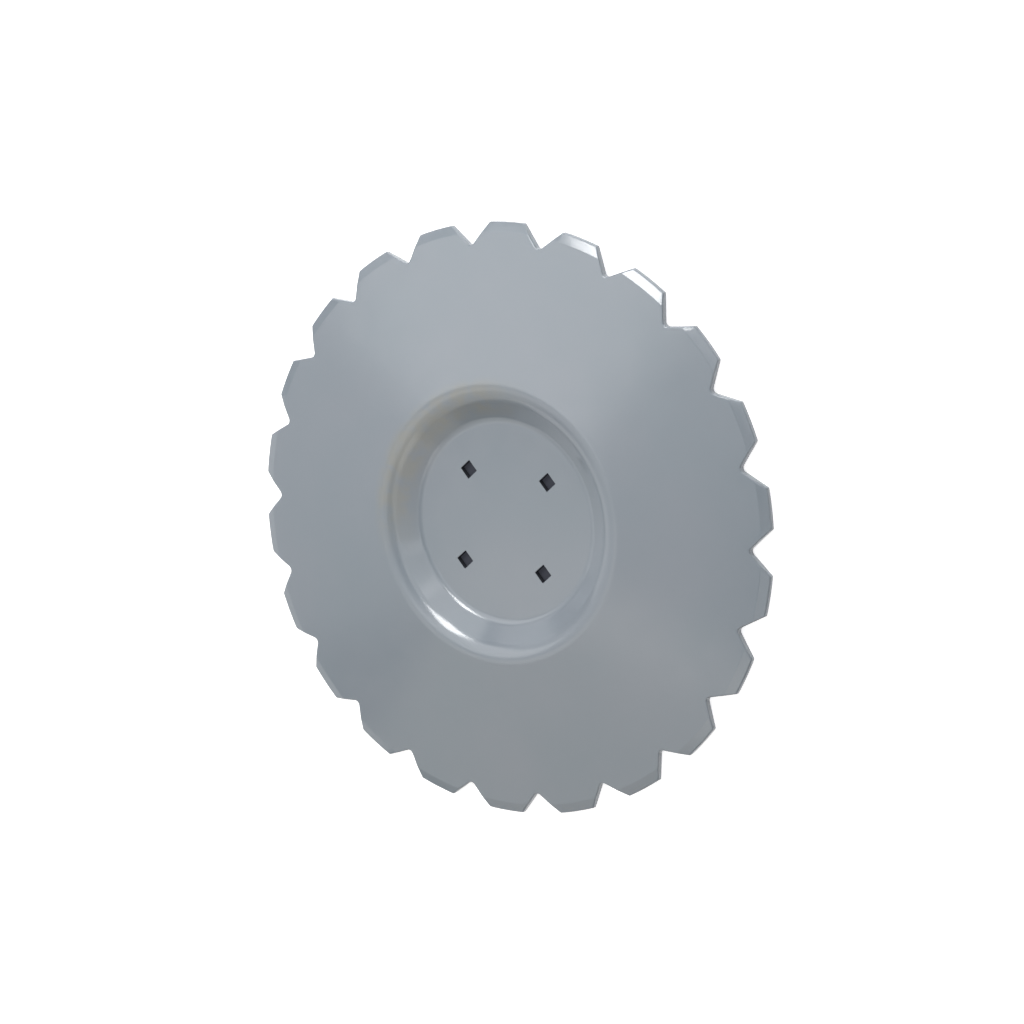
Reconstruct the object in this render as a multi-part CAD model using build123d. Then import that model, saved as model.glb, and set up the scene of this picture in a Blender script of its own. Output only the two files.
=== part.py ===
from build123d import *
import math
import os

# Harrow disc blade: one pressed steel plate, lying with its recessed hub side up.
# The origin is on the axis, in the plane of the underside of the web. Units are millimetres.

# Blank
disc_diameter = 510.0
plate_thickness = 6.0

# Pressed section, from the axis outwards: flat web, domed wall, conical band
web_radius = 83.0             # where the flat web ends on the upper face
foot_angle = 35.0             # rise of the wall at its foot, its steepest place, degrees
shoulder_angle = 27.0         # rise of the wall at its top, where the crown bend starts, degrees
band_angle = 6.6              # fall of the conical band towards the rim, degrees
web_level = 0.0               # underside of the web
rim_level = 0.5               # lower corner of the rim
foot_bend_radius = 12.0       # hollow bend between web and wall, on the upper face
crown_bend_radius = 20.0      # rounded bend between wall and band, on the upper face

# Turned cutting edge on the upper face
bevel_width = 8.5
edge_land = 4.3               # height of the square edge that the bevel leaves

# Notched rim
tooth_count = 22
notch_depth = 20.0            # tip circle to where the notch walls would meet
notch_angle = 90.0
notch_root_radius = 4.0
first_notch_angle = 2.75      # degrees from the X axis

# Square bolt holes
hole_count = 4
hole_circle_diameter = 112.0
hole_side = 11.5
hole_corner_radius = 0.5
first_hole_angle = 45.0       # degrees from the X axis

tip_radius = disc_diameter / 2
foot = math.radians(foot_angle)
shoulder = math.radians(shoulder_angle)
band = math.radians(band_angle)


def band_height(radius):
    """Height of the band's upper face at a radius."""
    return rim_level + plate_thickness / math.cos(band) + (tip_radius - radius) * math.tan(band)


def wall_bend_radius():
    """Radius of the domed wall that just joins the two bends, on the upper face."""
    bends_run = foot_bend_radius * math.sin(foot)
    bends_run += crown_bend_radius * (math.sin(shoulder) + math.sin(band))
    bends_rise = foot_bend_radius * (1 - math.cos(foot))
    bends_rise += crown_bend_radius * (math.cos(band) - math.cos(shoulder))
    rise_left = band_height(web_radius + bends_run) - web_level - plate_thickness - bends_rise
    rise_share = math.cos(shoulder) - math.cos(foot)
    run_share = math.sin(foot) - math.sin(shoulder)
    return rise_left / (rise_share + run_share * math.tan(band))


def face_line(depth):
    """Line of the face that lies `depth` below the upper one, from the axis to the end of the crown."""
    level = web_level + plate_thickness - depth
    web = Line((0, level), (web_radius, level))
    foot_bend = JernArc(web @ 1, web % 1, foot_bend_radius + depth, foot_angle)
    wall = JernArc(foot_bend @ 1, foot_bend % 1, wall_bend_radius() - depth, shoulder_angle - foot_angle)
    crown = JernArc(wall @ 1, wall % 1, crown_bend_radius - depth, -shoulder_angle - band_angle)
    return crown @ 1


def section_face():
    """Half section of the plate, with its bends and its bevelled edge."""
    bevel_start = tip_radius - bevel_width
    with BuildSketch() as section:
        with BuildLine():
            upper_end = face_line(0)
            lower_end = face_line(plate_thickness)
            Polyline(
                upper_end,
                (bevel_start, band_height(bevel_start)),
                (tip_radius, rim_level + edge_land),
                (tip_radius, rim_level),
                lower_end,
            )
            Line((0, web_level), (0, web_level + plate_thickness))
        make_face()
    return section.sketch


def notch_face():
    """One notch, with straight walls and a round root, opening along the X axis."""
    root = tip_radius - notch_depth
    reach = 2 * notch_depth
    half_width = reach * math.tan(math.radians(notch_angle / 2))
    with BuildSketch() as notch:
        with BuildLine():
            Polyline((root, 0), (root + reach, half_width), (root + reach, -half_width), close=True)
        make_face()
        fillet(notch.vertices().sort_by(Axis.X)[0], notch_root_radius)
    return notch.sketch


def disc_blade():
    """The whole blade: turned section, notches and bolt holes."""
    with BuildPart() as blade:
        with BuildSketch(Plane.XZ):
            add(section_face())
        revolve(axis=Axis.Z)
        cut_height = blade.part.bounding_box().size.Z + plate_thickness
        with BuildSketch():
            with PolarLocations(0, tooth_count, start_angle=first_notch_angle):
                add(notch_face())
        extrude(amount=cut_height, both=True, mode=Mode.SUBTRACT)
        with BuildSketch():
            with PolarLocations(hole_circle_diameter / 2, hole_count, start_angle=first_hole_angle):
                RectangleRounded(hole_side, hole_side, hole_corner_radius)
        extrude(amount=cut_height, both=True, mode=Mode.SUBTRACT)
    return blade.part


os.makedirs("parts", exist_ok=True)
export_step(disc_blade(), "parts/disc_blade.step")
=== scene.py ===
import math

import bmesh
import bpy
from mathutils import Matrix, Vector
from mathutils.geometry import delaunay_2d_cdt


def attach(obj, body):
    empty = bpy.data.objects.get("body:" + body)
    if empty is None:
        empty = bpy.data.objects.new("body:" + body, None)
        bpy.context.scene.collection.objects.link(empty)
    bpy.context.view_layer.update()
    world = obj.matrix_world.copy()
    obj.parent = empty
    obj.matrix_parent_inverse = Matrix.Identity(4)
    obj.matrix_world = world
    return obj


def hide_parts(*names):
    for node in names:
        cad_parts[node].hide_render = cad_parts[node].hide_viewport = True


# Harrow disc blade, lying with its recessed hub side up. The scene is in metres.

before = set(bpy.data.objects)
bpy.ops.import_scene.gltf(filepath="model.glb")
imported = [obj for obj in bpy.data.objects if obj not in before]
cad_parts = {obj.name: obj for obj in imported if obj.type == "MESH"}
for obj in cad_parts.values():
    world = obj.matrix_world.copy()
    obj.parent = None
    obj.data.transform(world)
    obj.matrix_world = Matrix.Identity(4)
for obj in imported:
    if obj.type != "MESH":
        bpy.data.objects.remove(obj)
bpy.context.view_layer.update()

MM = 0.001

# Sizes of the blade. The wall is straight here and slightly domed in the solid, less than 1 mm apart.
tip_radius = 255.0 * MM
plate_thickness = 6.0 * MM
web_radius = 84.0 * MM
wall_angle = math.radians(35.5)
band_angle = math.radians(6.6)
foot_bend_radius = 11.5 * MM
crown_bend_radius = 26.0 * MM
rim_level = 0.5 * MM
bevel_width = 8.5 * MM
edge_land = 4.3 * MM
tooth_count = 22
notch_depth = 20.0 * MM
notch_half_angle = math.radians(45.0)
notch_root_radius = 4.0 * MM
first_notch_angle = math.radians(2.75)
hole_count = 4
hole_circle_radius = 56.0 * MM
hole_side = 11.5 * MM
hole_corner_radius = 0.5 * MM
first_hole_angle = math.radians(45.0)

# Softened edges, as punching and paint leave them
upper_edge_round = 1.3 * MM
lower_edge_round = 0.5 * MM
tip_corner_round = 1.5 * MM
bevel_line_round = 0.4 * MM

# Fineness of the mesh
steps_per_tooth = 16
bend_steps = 12
band_steps = 4
edge_steps = 4
tip_steps = steps_per_tooth // 4
bevel_steps = steps_per_tooth // 2
ring_steps = tooth_count * steps_per_tooth


# Section of the plate

def band_height(radius):
    """Height of the conical band's upper face, carried on to any radius."""
    rim_height = rim_level + plate_thickness / math.cos(band_angle)
    return rim_height + (tip_radius - radius) * math.tan(band_angle)


def find_wall_length():
    """Length of the straight wall that just joins the bends at its two ends."""
    run = foot_bend_radius * math.sin(wall_angle)
    run += crown_bend_radius * (math.sin(wall_angle) + math.sin(band_angle))
    rise = foot_bend_radius * (1 - math.cos(wall_angle))
    rise += crown_bend_radius * (math.cos(band_angle) - math.cos(wall_angle))
    rise_left = band_height(web_radius + run) - plate_thickness - rise
    return rise_left / (math.sin(wall_angle) + math.cos(wall_angle) * math.tan(band_angle))


def moved(point, along, away):
    """A point of the section moved along the wall's slope, and at right angles to it."""
    x = point[0] + along * math.cos(wall_angle) - away * math.sin(wall_angle)
    z = point[1] + along * math.sin(wall_angle) + away * math.cos(wall_angle)
    return (x, z)


# Centres of the two bends, which both faces share
foot_centre = (web_radius, plate_thickness + foot_bend_radius)
crown_centre = moved(foot_centre, find_wall_length(), -foot_bend_radius - crown_bend_radius)


def face_height(radius, depth):
    """Height of the face `depth` below the upper one, without the bevel."""
    foot_bend = foot_bend_radius + depth
    crown_bend = crown_bend_radius - depth
    if radius <= web_radius:
        return plate_thickness - depth
    wall_start = moved(foot_centre, 0.0, -foot_bend)
    if radius <= wall_start[0]:
        return foot_centre[1] - math.sqrt(foot_bend ** 2 - (radius - foot_centre[0]) ** 2)
    if radius <= crown_centre[0] - crown_bend * math.sin(wall_angle):
        return wall_start[1] + (radius - wall_start[0]) * math.tan(wall_angle)
    if radius <= crown_centre[0] + crown_bend * math.sin(band_angle):
        return crown_centre[1] + math.sqrt(crown_bend ** 2 - (radius - crown_centre[0]) ** 2)
    return band_height(radius) - depth / math.cos(band_angle)


bevel_start = tip_radius - bevel_width
bevel_drop = (band_height(tip_radius) - rim_level - edge_land) / bevel_width


def upper_height(radius):
    """Height of the upper face, with the bevel and its softened inner line."""
    past = radius - bevel_start
    height = face_height(radius, 0.0)
    if past >= bevel_line_round:
        return height - bevel_drop * past
    if past > -bevel_line_round:
        return height - bevel_drop * (past + bevel_line_round) ** 2 / (4 * bevel_line_round)
    return height


def lower_height(radius):
    """Height of the underside."""
    return face_height(radius, plate_thickness)


def ring_radii(depth):
    """Radii of the rings of vertices that follow the bends of one face, from web to rim."""
    bends = (
        (foot_centre, foot_bend_radius + depth, 0.0, wall_angle),
        (crown_centre, crown_bend_radius - depth, -wall_angle, band_angle),
    )
    radii = []
    for centre, bend, start, end in bends:
        for step in range(bend_steps + 1):
            angle = start + (end - start) * step / bend_steps
            radii.append(centre[0] + bend * math.sin(angle))
    rim_ring = tip_radius - notch_depth - 2 * notch_root_radius
    band_start = radii[-1]
    for step in range(1, band_steps + 1):
        radii.append(band_start + (rim_ring - band_start) * step / band_steps)
    return radii


# Outline of the rim and of the holes, seen from above

def turned(point, angle):
    """A point turned about the axis."""
    cosine, sine = math.cos(angle), math.sin(angle)
    return (point[0] * cosine - point[1] * sine, point[0] * sine + point[1] * cosine)


def notch_wall_point(radius, inset):
    """Where a notch wall, moved into the plate by `inset`, crosses a radius. The notch is on X."""
    root = tip_radius - notch_depth - inset / math.sin(notch_half_angle)
    lean = math.tan(notch_half_angle)
    square = 1 + lean ** 2
    middle = root * lean ** 2
    x = (middle + math.sqrt(middle ** 2 - square * (root ** 2 * lean ** 2 - radius ** 2))) / square
    return (x, (x - root) * lean)


def half_notch(inset):
    """Rim outline from the middle of a notch root to the next tooth's middle. The notch is on X."""
    points = []
    root_centre = tip_radius - notch_depth + notch_root_radius / math.sin(notch_half_angle)
    root_bend = notch_root_radius + inset
    for step in range(edge_steps + 1):
        angle = math.pi - (math.pi / 2 - notch_half_angle) * step / edge_steps
        points.append((root_centre + root_bend * math.cos(angle), root_bend * math.sin(angle)))
    wall_start = math.hypot(*points[-1])
    line = bevel_start
    for radius in ((wall_start + line) / 2, line - bevel_line_round, line, line + bevel_line_round):
        points.append(notch_wall_point(radius, inset))
    corner = notch_wall_point(tip_radius - tip_corner_round, tip_corner_round)
    corner_turn = math.atan2(corner[1], corner[0])
    corner_bend = tip_corner_round - inset
    for step in range(edge_steps + 1):
        start = notch_half_angle - math.pi / 2
        angle = start + (corner_turn - start) * step / edge_steps
        x = corner[0] + corner_bend * math.cos(angle)
        y = corner[1] + corner_bend * math.sin(angle)
        points.append((x, y))
    middle = math.pi / tooth_count
    for step in range(1, tip_steps + 1):
        angle = corner_turn + (middle - corner_turn) * step / tip_steps
        points.append(turned((tip_radius - inset, 0.0), angle))
    return points


def rim_outline(inset):
    """The whole notched rim, moved into the plate by `inset`."""
    right = half_notch(inset)
    left = [(x, -y) for x, y in reversed(right[1:-1])]
    points = []
    for tooth in range(tooth_count):
        angle = first_notch_angle + 2 * math.pi * tooth / tooth_count
        points += [turned(point, angle) for point in left + right]
    return points


def hole_outline(hole, inset):
    """One square hole, opened by `inset`."""
    turn = first_hole_angle + 2 * math.pi * hole / hole_count
    straight = hole_side / 2 - hole_corner_radius
    bend = hole_corner_radius + inset
    points = []
    for corner in range(4):
        corner_turn = math.pi / 4 + corner * math.pi / 2
        centre = (straight * math.copysign(1, math.cos(corner_turn)),
                  straight * math.copysign(1, math.sin(corner_turn)))
        for step in range(edge_steps + 1):
            angle = corner * math.pi / 2 + math.pi / 2 * step / edge_steps
            x = hole_circle_radius + centre[0] + bend * math.cos(angle)
            y = centre[1] + bend * math.sin(angle)
            points.append(turned((x, y), turn))
    return points


# Mesh helpers

def add_loop(mesh, points, height, drop=0.0):
    """Vertices over plan points, on a face whose height is a function of the radius."""
    return [mesh.verts.new((x, y, height(math.hypot(x, y)) - drop)) for x, y in points]


def bridge(mesh, first, second):
    """Quads between two closed loops with as many vertices."""
    count = len(first)
    for here in range(count):
        after = (here + 1) % count
        mesh.faces.new((first[here], first[after], second[after], second[here]))


def fill(mesh, outer, inner_loops, lines=()):
    """Triangles inside a closed loop, outside the inner loops, with edges along the lines."""
    verts = list(outer)
    owner = [0] * len(outer)
    edges = [(i, (i + 1) % len(outer)) for i in range(len(outer))]
    for number, loop in enumerate(inner_loops, 1):
        base = len(verts)
        verts += loop
        owner += [number] * len(loop)
        edges += [(base + i, base + (i + 1) % len(loop)) for i in range(len(loop))]
    place = {vert: index for index, vert in enumerate(verts)}
    for line in lines:
        for vert in line:
            if vert not in place:
                place[vert] = len(verts)
                verts.append(vert)
                owner.append(0)
        edges += [(place[a], place[b]) for a, b in zip(line, line[1:])]
    plan = [Vector(vert.co[:2]) for vert in verts]
    faces = delaunay_2d_cdt(plan, edges, [], 1, 1e-9)[2]
    for face in faces:
        owners = {owner[index] for index in face}
        if len(owners) == 1 and 0 not in owners:
            continue
        mesh.faces.new([verts[index] for index in face])


def circle(radius, count):
    """Plan points round a circle, starting on the first notch."""
    return [turned((radius, 0.0), first_notch_angle + 2 * math.pi * i / count) for i in range(count)]


def edge_loops(mesh, outline, height, rounding, sign):
    """Loops that turn a face over its edge. The first is on the face, the last on the wall."""
    loops = []
    for step in range(edge_steps + 1):
        angle = math.pi / 2 * step / edge_steps
        inset = rounding * (1 - math.sin(angle))
        drop = rounding * (1 - math.cos(angle))
        loops.append(add_loop(mesh, outline(inset), height, sign * drop))
    return loops


def tooth_lines(mesh, rim, number, height):
    """Arcs along one of the bevel's three lines, 0 to 2, for each tooth, between vertices of the rim."""
    lines = []
    per_tooth = len(rim) // tooth_count
    root_middle = (per_tooth + 1) // 2 - 1
    # Next to a root's middle come its bend, one vertex on the notch wall and then the three lines
    from_root = edge_steps + 2 + number
    radius = bevel_start + (number - 1) * bevel_line_round
    for tooth in range(tooth_count):
        start = rim[tooth * per_tooth + root_middle + from_root]
        end = rim[((tooth + 1) * per_tooth + root_middle - from_root) % len(rim)]
        start_angle = math.atan2(start.co.y, start.co.x)
        sweep = (math.atan2(end.co.y, end.co.x) - start_angle) % (2 * math.pi)
        middle = []
        for step in range(1, bevel_steps):
            angle = start_angle + sweep * step / bevel_steps
            middle += add_loop(mesh, [turned((radius, 0.0), angle)], height)
        lines.append([start] + middle + [end])
    return lines


def make_face_skin(mesh, depth, height, rim, holes, lines=()):
    """One face of the plate: web with holes, turned bends and band, and the toothed rim."""
    rings = [add_loop(mesh, circle(radius, ring_steps), height) for radius in ring_radii(depth)]
    fill(mesh, rings[0], holes)
    for inner, outer in zip(rings, rings[1:]):
        bridge(mesh, inner, outer)
    fill(mesh, rim, [rings[-1]], lines)


def make_blade():
    """The blade as one closed mesh with softened edges."""
    mesh = bmesh.new()
    upper_rim = edge_loops(mesh, rim_outline, upper_height, upper_edge_round, 1)
    lower_rim = edge_loops(mesh, rim_outline, lower_height, lower_edge_round, -1)
    upper_holes, lower_holes = [], []
    for hole in range(hole_count):
        def outline(inset, hole=hole):
            return hole_outline(hole, inset)
        upper_holes.append(edge_loops(mesh, outline, upper_height, lower_edge_round, 1))
        lower_holes.append(edge_loops(mesh, outline, lower_height, lower_edge_round, -1))
    for upper, lower in [(upper_rim, lower_rim)] + list(zip(upper_holes, lower_holes)):
        loops = upper + lower[::-1]
        for first, second in zip(loops, loops[1:]):
            bridge(mesh, first, second)
    lines = []
    for number in range(3):
        lines += tooth_lines(mesh, upper_rim[0], number, upper_height)
    make_face_skin(mesh, 0.0, upper_height, upper_rim[0], [loops[0] for loops in upper_holes], lines)
    make_face_skin(mesh, plate_thickness, lower_height, lower_rim[0], [loops[0] for loops in lower_holes])
    bmesh.ops.recalc_face_normals(mesh, faces=mesh.faces)
    data = bpy.data.meshes.new("blade_skin")
    mesh.to_mesh(data)
    mesh.free()
    data.shade_smooth()
    piece = bpy.data.objects.new("blade_skin", data)
    bpy.context.scene.collection.objects.link(piece)
    weighted = piece.modifiers.new("even_shading", "WEIGHTED_NORMAL")
    weighted.keep_sharp = False
    return piece


# Materials

dark_tint = (0.221, 0.256, 0.289)
light_tint = (0.237, 0.264, 0.298)
glossy_roughness = (0.12, 0.12, 0.12)
dull_roughness = (0.20, 0.20, 0.20)
enamel_ior = 1.65

# Dust on the upper left of the recess wall, together with painted greenish light as if from the ground
# below: its direction, and the radii between which it fades
dust_and_painted_light_colour = (0.254, 0.264, 0.257)
dust_and_painted_light_angle = math.radians(140.0)
dust_and_painted_light_inner_fade = (88 * MM, 100 * MM)
dust_and_painted_light_outer_fade = (128 * MM, 116 * MM)
dust_and_painted_light_side_fade = (0.4, 0.9)

# Painted shade on the walls of the bolt holes, dark between depths where the softened edges end
hole_wall_shade_colour = (0.040, 0.043, 0.052)
hole_fade_start = 0.3 * MM
hole_fade_end = 0.6 * MM
hole_wall_margin = 1 * MM

floor_colour = (0.9, 0.9, 0.9, 1)
# Painted shade: the floor colour inside the web's radius, seen through the bolt holes
gap_shade_colour = (0.03, 0.032, 0.04, 1)
floor_glow = 0.8


def make_paint():
    """Grey-blue enamel with uneven tint and gloss, orange peel, dust with painted greenish light in the
    recess, and painted shade on the hole walls.
    """
    material = bpy.data.materials.new("grey_paint")
    material.use_nodes = True
    nodes, links = material.node_tree.nodes, material.node_tree.links
    shader = nodes["Principled BSDF"]
    place = nodes.new("ShaderNodeTexCoord").outputs["Object"]

    def noise(scale, detail):
        node = nodes.new("ShaderNodeTexNoise")
        node.inputs["Scale"].default_value = scale
        node.inputs["Detail"].default_value = detail
        links.new(place, node.inputs["Vector"])
        return node.outputs["Fac"]

    def ramp(value, stops):
        node = nodes.new("ShaderNodeValToRGB")
        for stop, (position, colour) in zip(node.color_ramp.elements, stops):
            stop.position = position
            stop.color = (*colour, 1)
        links.new(value, node.inputs["Fac"])
        return node.outputs["Color"]

    def bump(height, strength, depth, before=None):
        node = nodes.new("ShaderNodeBump")
        node.inputs["Strength"].default_value = strength
        node.inputs["Distance"].default_value = depth
        links.new(height, node.inputs["Height"])
        if before:
            links.new(before, node.inputs["Normal"])
        return node.outputs["Normal"]

    def vector_math(operation, vector, other=(0, 0, 0)):
        node = nodes.new("ShaderNodeVectorMath")
        node.operation = operation
        node.inputs[1].default_value = other
        links.new(vector, node.inputs[0])
        return node.outputs

    def rising(value, start, end):
        """0 before the start, 1 after the end and smooth between them. The end may be the lower one."""
        node = nodes.new("ShaderNodeMapRange")
        node.interpolation_type = "SMOOTHSTEP"
        node.inputs["From Min"].default_value = start
        node.inputs["From Max"].default_value = end
        links.new(value, node.inputs["Value"])
        return node.outputs["Result"]

    def product(*values):
        result = values[0]
        for value in values[1:]:
            node = nodes.new("ShaderNodeMath")
            node.operation = "MULTIPLY"
            links.new(result, node.inputs[0])
            links.new(value, node.inputs[1])
            result = node.outputs["Value"]
        return result

    def covered(colour, share, cover):
        """A colour with another one laid over it where the share is 1."""
        node = nodes.new("ShaderNodeMixRGB")
        links.new(share, node.inputs["Fac"])
        links.new(colour, node.inputs["Color1"])
        node.inputs["Color2"].default_value = (*cover, 1)
        return node.outputs["Color"]

    across = vector_math("MULTIPLY", place, (1, 1, 0))["Vector"]
    reach = vector_math("LENGTH", across)["Value"]
    height = vector_math("DOT_PRODUCT", place, (0, 0, 1))["Value"]
    outward = vector_math("NORMALIZE", across)["Vector"]

    dust_and_painted_light_way = (math.cos(dust_and_painted_light_angle), math.sin(dust_and_painted_light_angle), 0)
    # Dust smudge on the upper-left recess wall, with painted greenish light from below mixed into the
    # same tint
    dust_and_painted_light = product(
        rising(reach, *dust_and_painted_light_inner_fade),
        rising(reach, *dust_and_painted_light_outer_fade),
        rising(vector_math("DOT_PRODUCT", outward, dust_and_painted_light_way)["Value"], *dust_and_painted_light_side_fade),
        rising(noise(scale=70.0, detail=4.0), 0.25, 0.65),
    )
    # Painted shade: the walls of the bolt holes are darkened as if shade filled them
    hole_wall_shade = product(
        rising(reach, web_radius, web_radius - hole_wall_margin),
        rising(height, hole_fade_start, hole_fade_end),
        rising(height, plate_thickness - hole_fade_start, plate_thickness - hole_fade_end),
    )

    tint = ramp(noise(scale=9.0, detail=3.0), ((0.3, dark_tint), (0.7, light_tint)))
    tint = covered(tint, dust_and_painted_light, dust_and_painted_light_colour)
    # Lay the painted hole shade over the paint
    tint = covered(tint, hole_wall_shade, hole_wall_shade_colour)
    links.new(tint, shader.inputs["Base Color"])
    gloss = ramp(noise(scale=40.0, detail=4.0), ((0.3, glossy_roughness), (0.7, dull_roughness)))
    links.new(gloss, shader.inputs["Roughness"])
    shader.inputs["IOR"].default_value = enamel_ior
    waves = bump(noise(scale=16.0, detail=1.0), strength=0.04, depth=0.002)
    peel = bump(noise(scale=420.0, detail=2.0), strength=0.05, depth=0.0005, before=waves)
    links.new(peel, shader.inputs["Normal"])
    return material


def make_floor_material():
    """White floor that keeps the blade's shadow, with painted shade as a dark patch under the web, where
    it shows through the bolt holes.
    """
    material = bpy.data.materials.new("white_floor")
    material.use_nodes = True
    nodes, links = material.node_tree.nodes, material.node_tree.links
    shader = nodes["Principled BSDF"]
    shader.inputs["Roughness"].default_value = 1.0
    shader.inputs["Specular IOR Level"].default_value = 0.0
    place = nodes.new("ShaderNodeTexCoord").outputs["Object"]
    reach = nodes.new("ShaderNodeVectorMath")
    reach.operation = "LENGTH"
    links.new(place, reach.inputs[0])
    outside = nodes.new("ShaderNodeMath")
    outside.operation = "GREATER_THAN"
    outside.inputs[1].default_value = web_radius
    links.new(reach.outputs["Value"], outside.inputs[0])
    # Painted shade: dark floor under the web, white outside it
    colour = nodes.new("ShaderNodeValToRGB")
    colour.color_ramp.elements[0].color = gap_shade_colour
    colour.color_ramp.elements[1].color = floor_colour
    links.new(outside.outputs["Value"], colour.inputs["Fac"])
    links.new(colour.outputs["Color"], shader.inputs["Base Color"])
    links.new(colour.outputs["Color"], shader.inputs["Emission Color"])
    path = nodes.new("ShaderNodeLightPath")
    seen = path.outputs["Is Camera Ray"]
    for kind in ("Is Glossy Ray", "Is Transmission Ray"):
        either = nodes.new("ShaderNodeMath")
        either.operation = "MAXIMUM"
        links.new(seen, either.inputs[0])
        links.new(path.outputs[kind], either.inputs[1])
        seen = either.outputs["Value"]
    glow = nodes.new("ShaderNodeMath")
    glow.operation = "MULTIPLY"
    glow.inputs[1].default_value = floor_glow
    links.new(seen, glow.inputs[0])
    links.new(glow.outputs["Value"], shader.inputs["Emission Strength"])
    return material


# Scene

blade = make_blade()
blade.data.materials.append(make_paint())
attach(blade, "root")
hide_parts("disc_blade")

floor_size = 12.0
floor_gap = 0.2 * MM
bpy.ops.mesh.primitive_plane_add(size=floor_size, location=(0, 0, -floor_gap))
floor = bpy.context.object
floor.name = "floor"
floor.data.materials.append(make_floor_material())

# Camera: the photograph looks at the blade's face from its right and a little above
camera_turn = math.radians(-2.8)
camera_yaw = math.radians(-32.7)
camera_pitch = math.radians(10.6)
camera_distance = 2.600
camera_aside = -2.2 * MM
camera_down = -7.2 * MM
camera_lens = 107.2

camera_data = bpy.data.cameras.new("camera")
camera_data.lens = camera_lens
camera_data.sensor_width = 36.0
camera = bpy.data.objects.new("camera", camera_data)
bpy.context.scene.collection.objects.link(camera)
turn = Matrix.Rotation(camera_turn, 4, "Z")
yaw = Matrix.Rotation(camera_yaw, 4, "Y")
pitch = Matrix.Rotation(camera_pitch, 4, "X")
place = Matrix.Translation((camera_aside, camera_down, -camera_distance))
camera.matrix_world = (place @ pitch @ yaw @ turn).inverted()
bpy.context.scene.camera = camera


# Lamps: soft boxes whose reflections fall where the photograph shows them
lamp_distance = 2.5
warm_tone = (1.0, 0.93, 0.80)


def add_soft_box(name, azimuth, elevation, width, height, power, tone=(1.0, 1.0, 1.0)):
    """A lamp that faces the blade, at angles in degrees round the blade's axis and above its plane."""
    data = bpy.data.lights.new(name, "AREA")
    data.shape = "RECTANGLE"
    data.size = width
    data.size_y = height
    data.energy = power
    data.color = tone
    light = bpy.data.objects.new(name, data)
    flat = math.cos(math.radians(elevation))
    way = Vector((
        flat * math.cos(math.radians(azimuth)),
        flat * math.sin(math.radians(azimuth)),
        math.sin(math.radians(elevation)),
    ))
    light.location = way * lamp_distance
    light.rotation_euler = way.to_track_quat("Z", "Y").to_euler()
    bpy.context.scene.collection.objects.link(light)


# Azimuth and elevation in degrees, width and height in metres, power in watts
add_soft_box("key_light", 112, 59.5, 0.75, 0.75, 24)
add_soft_box("top_light", 88, 44, 2.4, 1.2, 14)
add_soft_box("top_left_light", 140, 22, 2.0, 0.8, 4)
add_soft_box("top_low_light", 93, 12, 2.2, 0.8, 23)
add_soft_box("left_light", 158, 58, 1.4, 1.3, 8)
add_soft_box("left_wide_light", 175, 56, 2.5, 2.4, 11)
add_soft_box("bottom_left_light", 252, 46, 2.6, 2.0, 11.5, warm_tone)
add_soft_box("far_left_light", 203, 18, 1.8, 1.0, 5.5)
add_soft_box("front_light", 325, 54, 3.0, 1.7, 14)
add_soft_box("right_light", 46, 60, 1.4, 1.4, 8)

# World: a faint sky that is a little brighter at the horizon
sky_level = 0.03
horizon_level = 0.1
horizon_top = 0.4

world = bpy.data.worlds.new("studio")
world.use_nodes = True
world_nodes, world_links = world.node_tree.nodes, world.node_tree.links
direction = world_nodes.new("ShaderNodeSeparateXYZ")
world_links.new(world_nodes.new("ShaderNodeTexCoord").outputs["Generated"], direction.inputs["Vector"])
sky = world_nodes.new("ShaderNodeMapRange")
sky.interpolation_type = "SMOOTHSTEP"
sky.inputs["From Min"].default_value = 0.0
sky.inputs["From Max"].default_value = horizon_top
sky.inputs["To Min"].default_value = horizon_level
sky.inputs["To Max"].default_value = sky_level
world_links.new(direction.outputs["Z"], sky.inputs["Value"])
world_links.new(sky.outputs["Result"], world_nodes["Background"].inputs["Strength"])
bpy.context.scene.world = world
bpy.context.scene.view_settings.view_transform = "Standard"
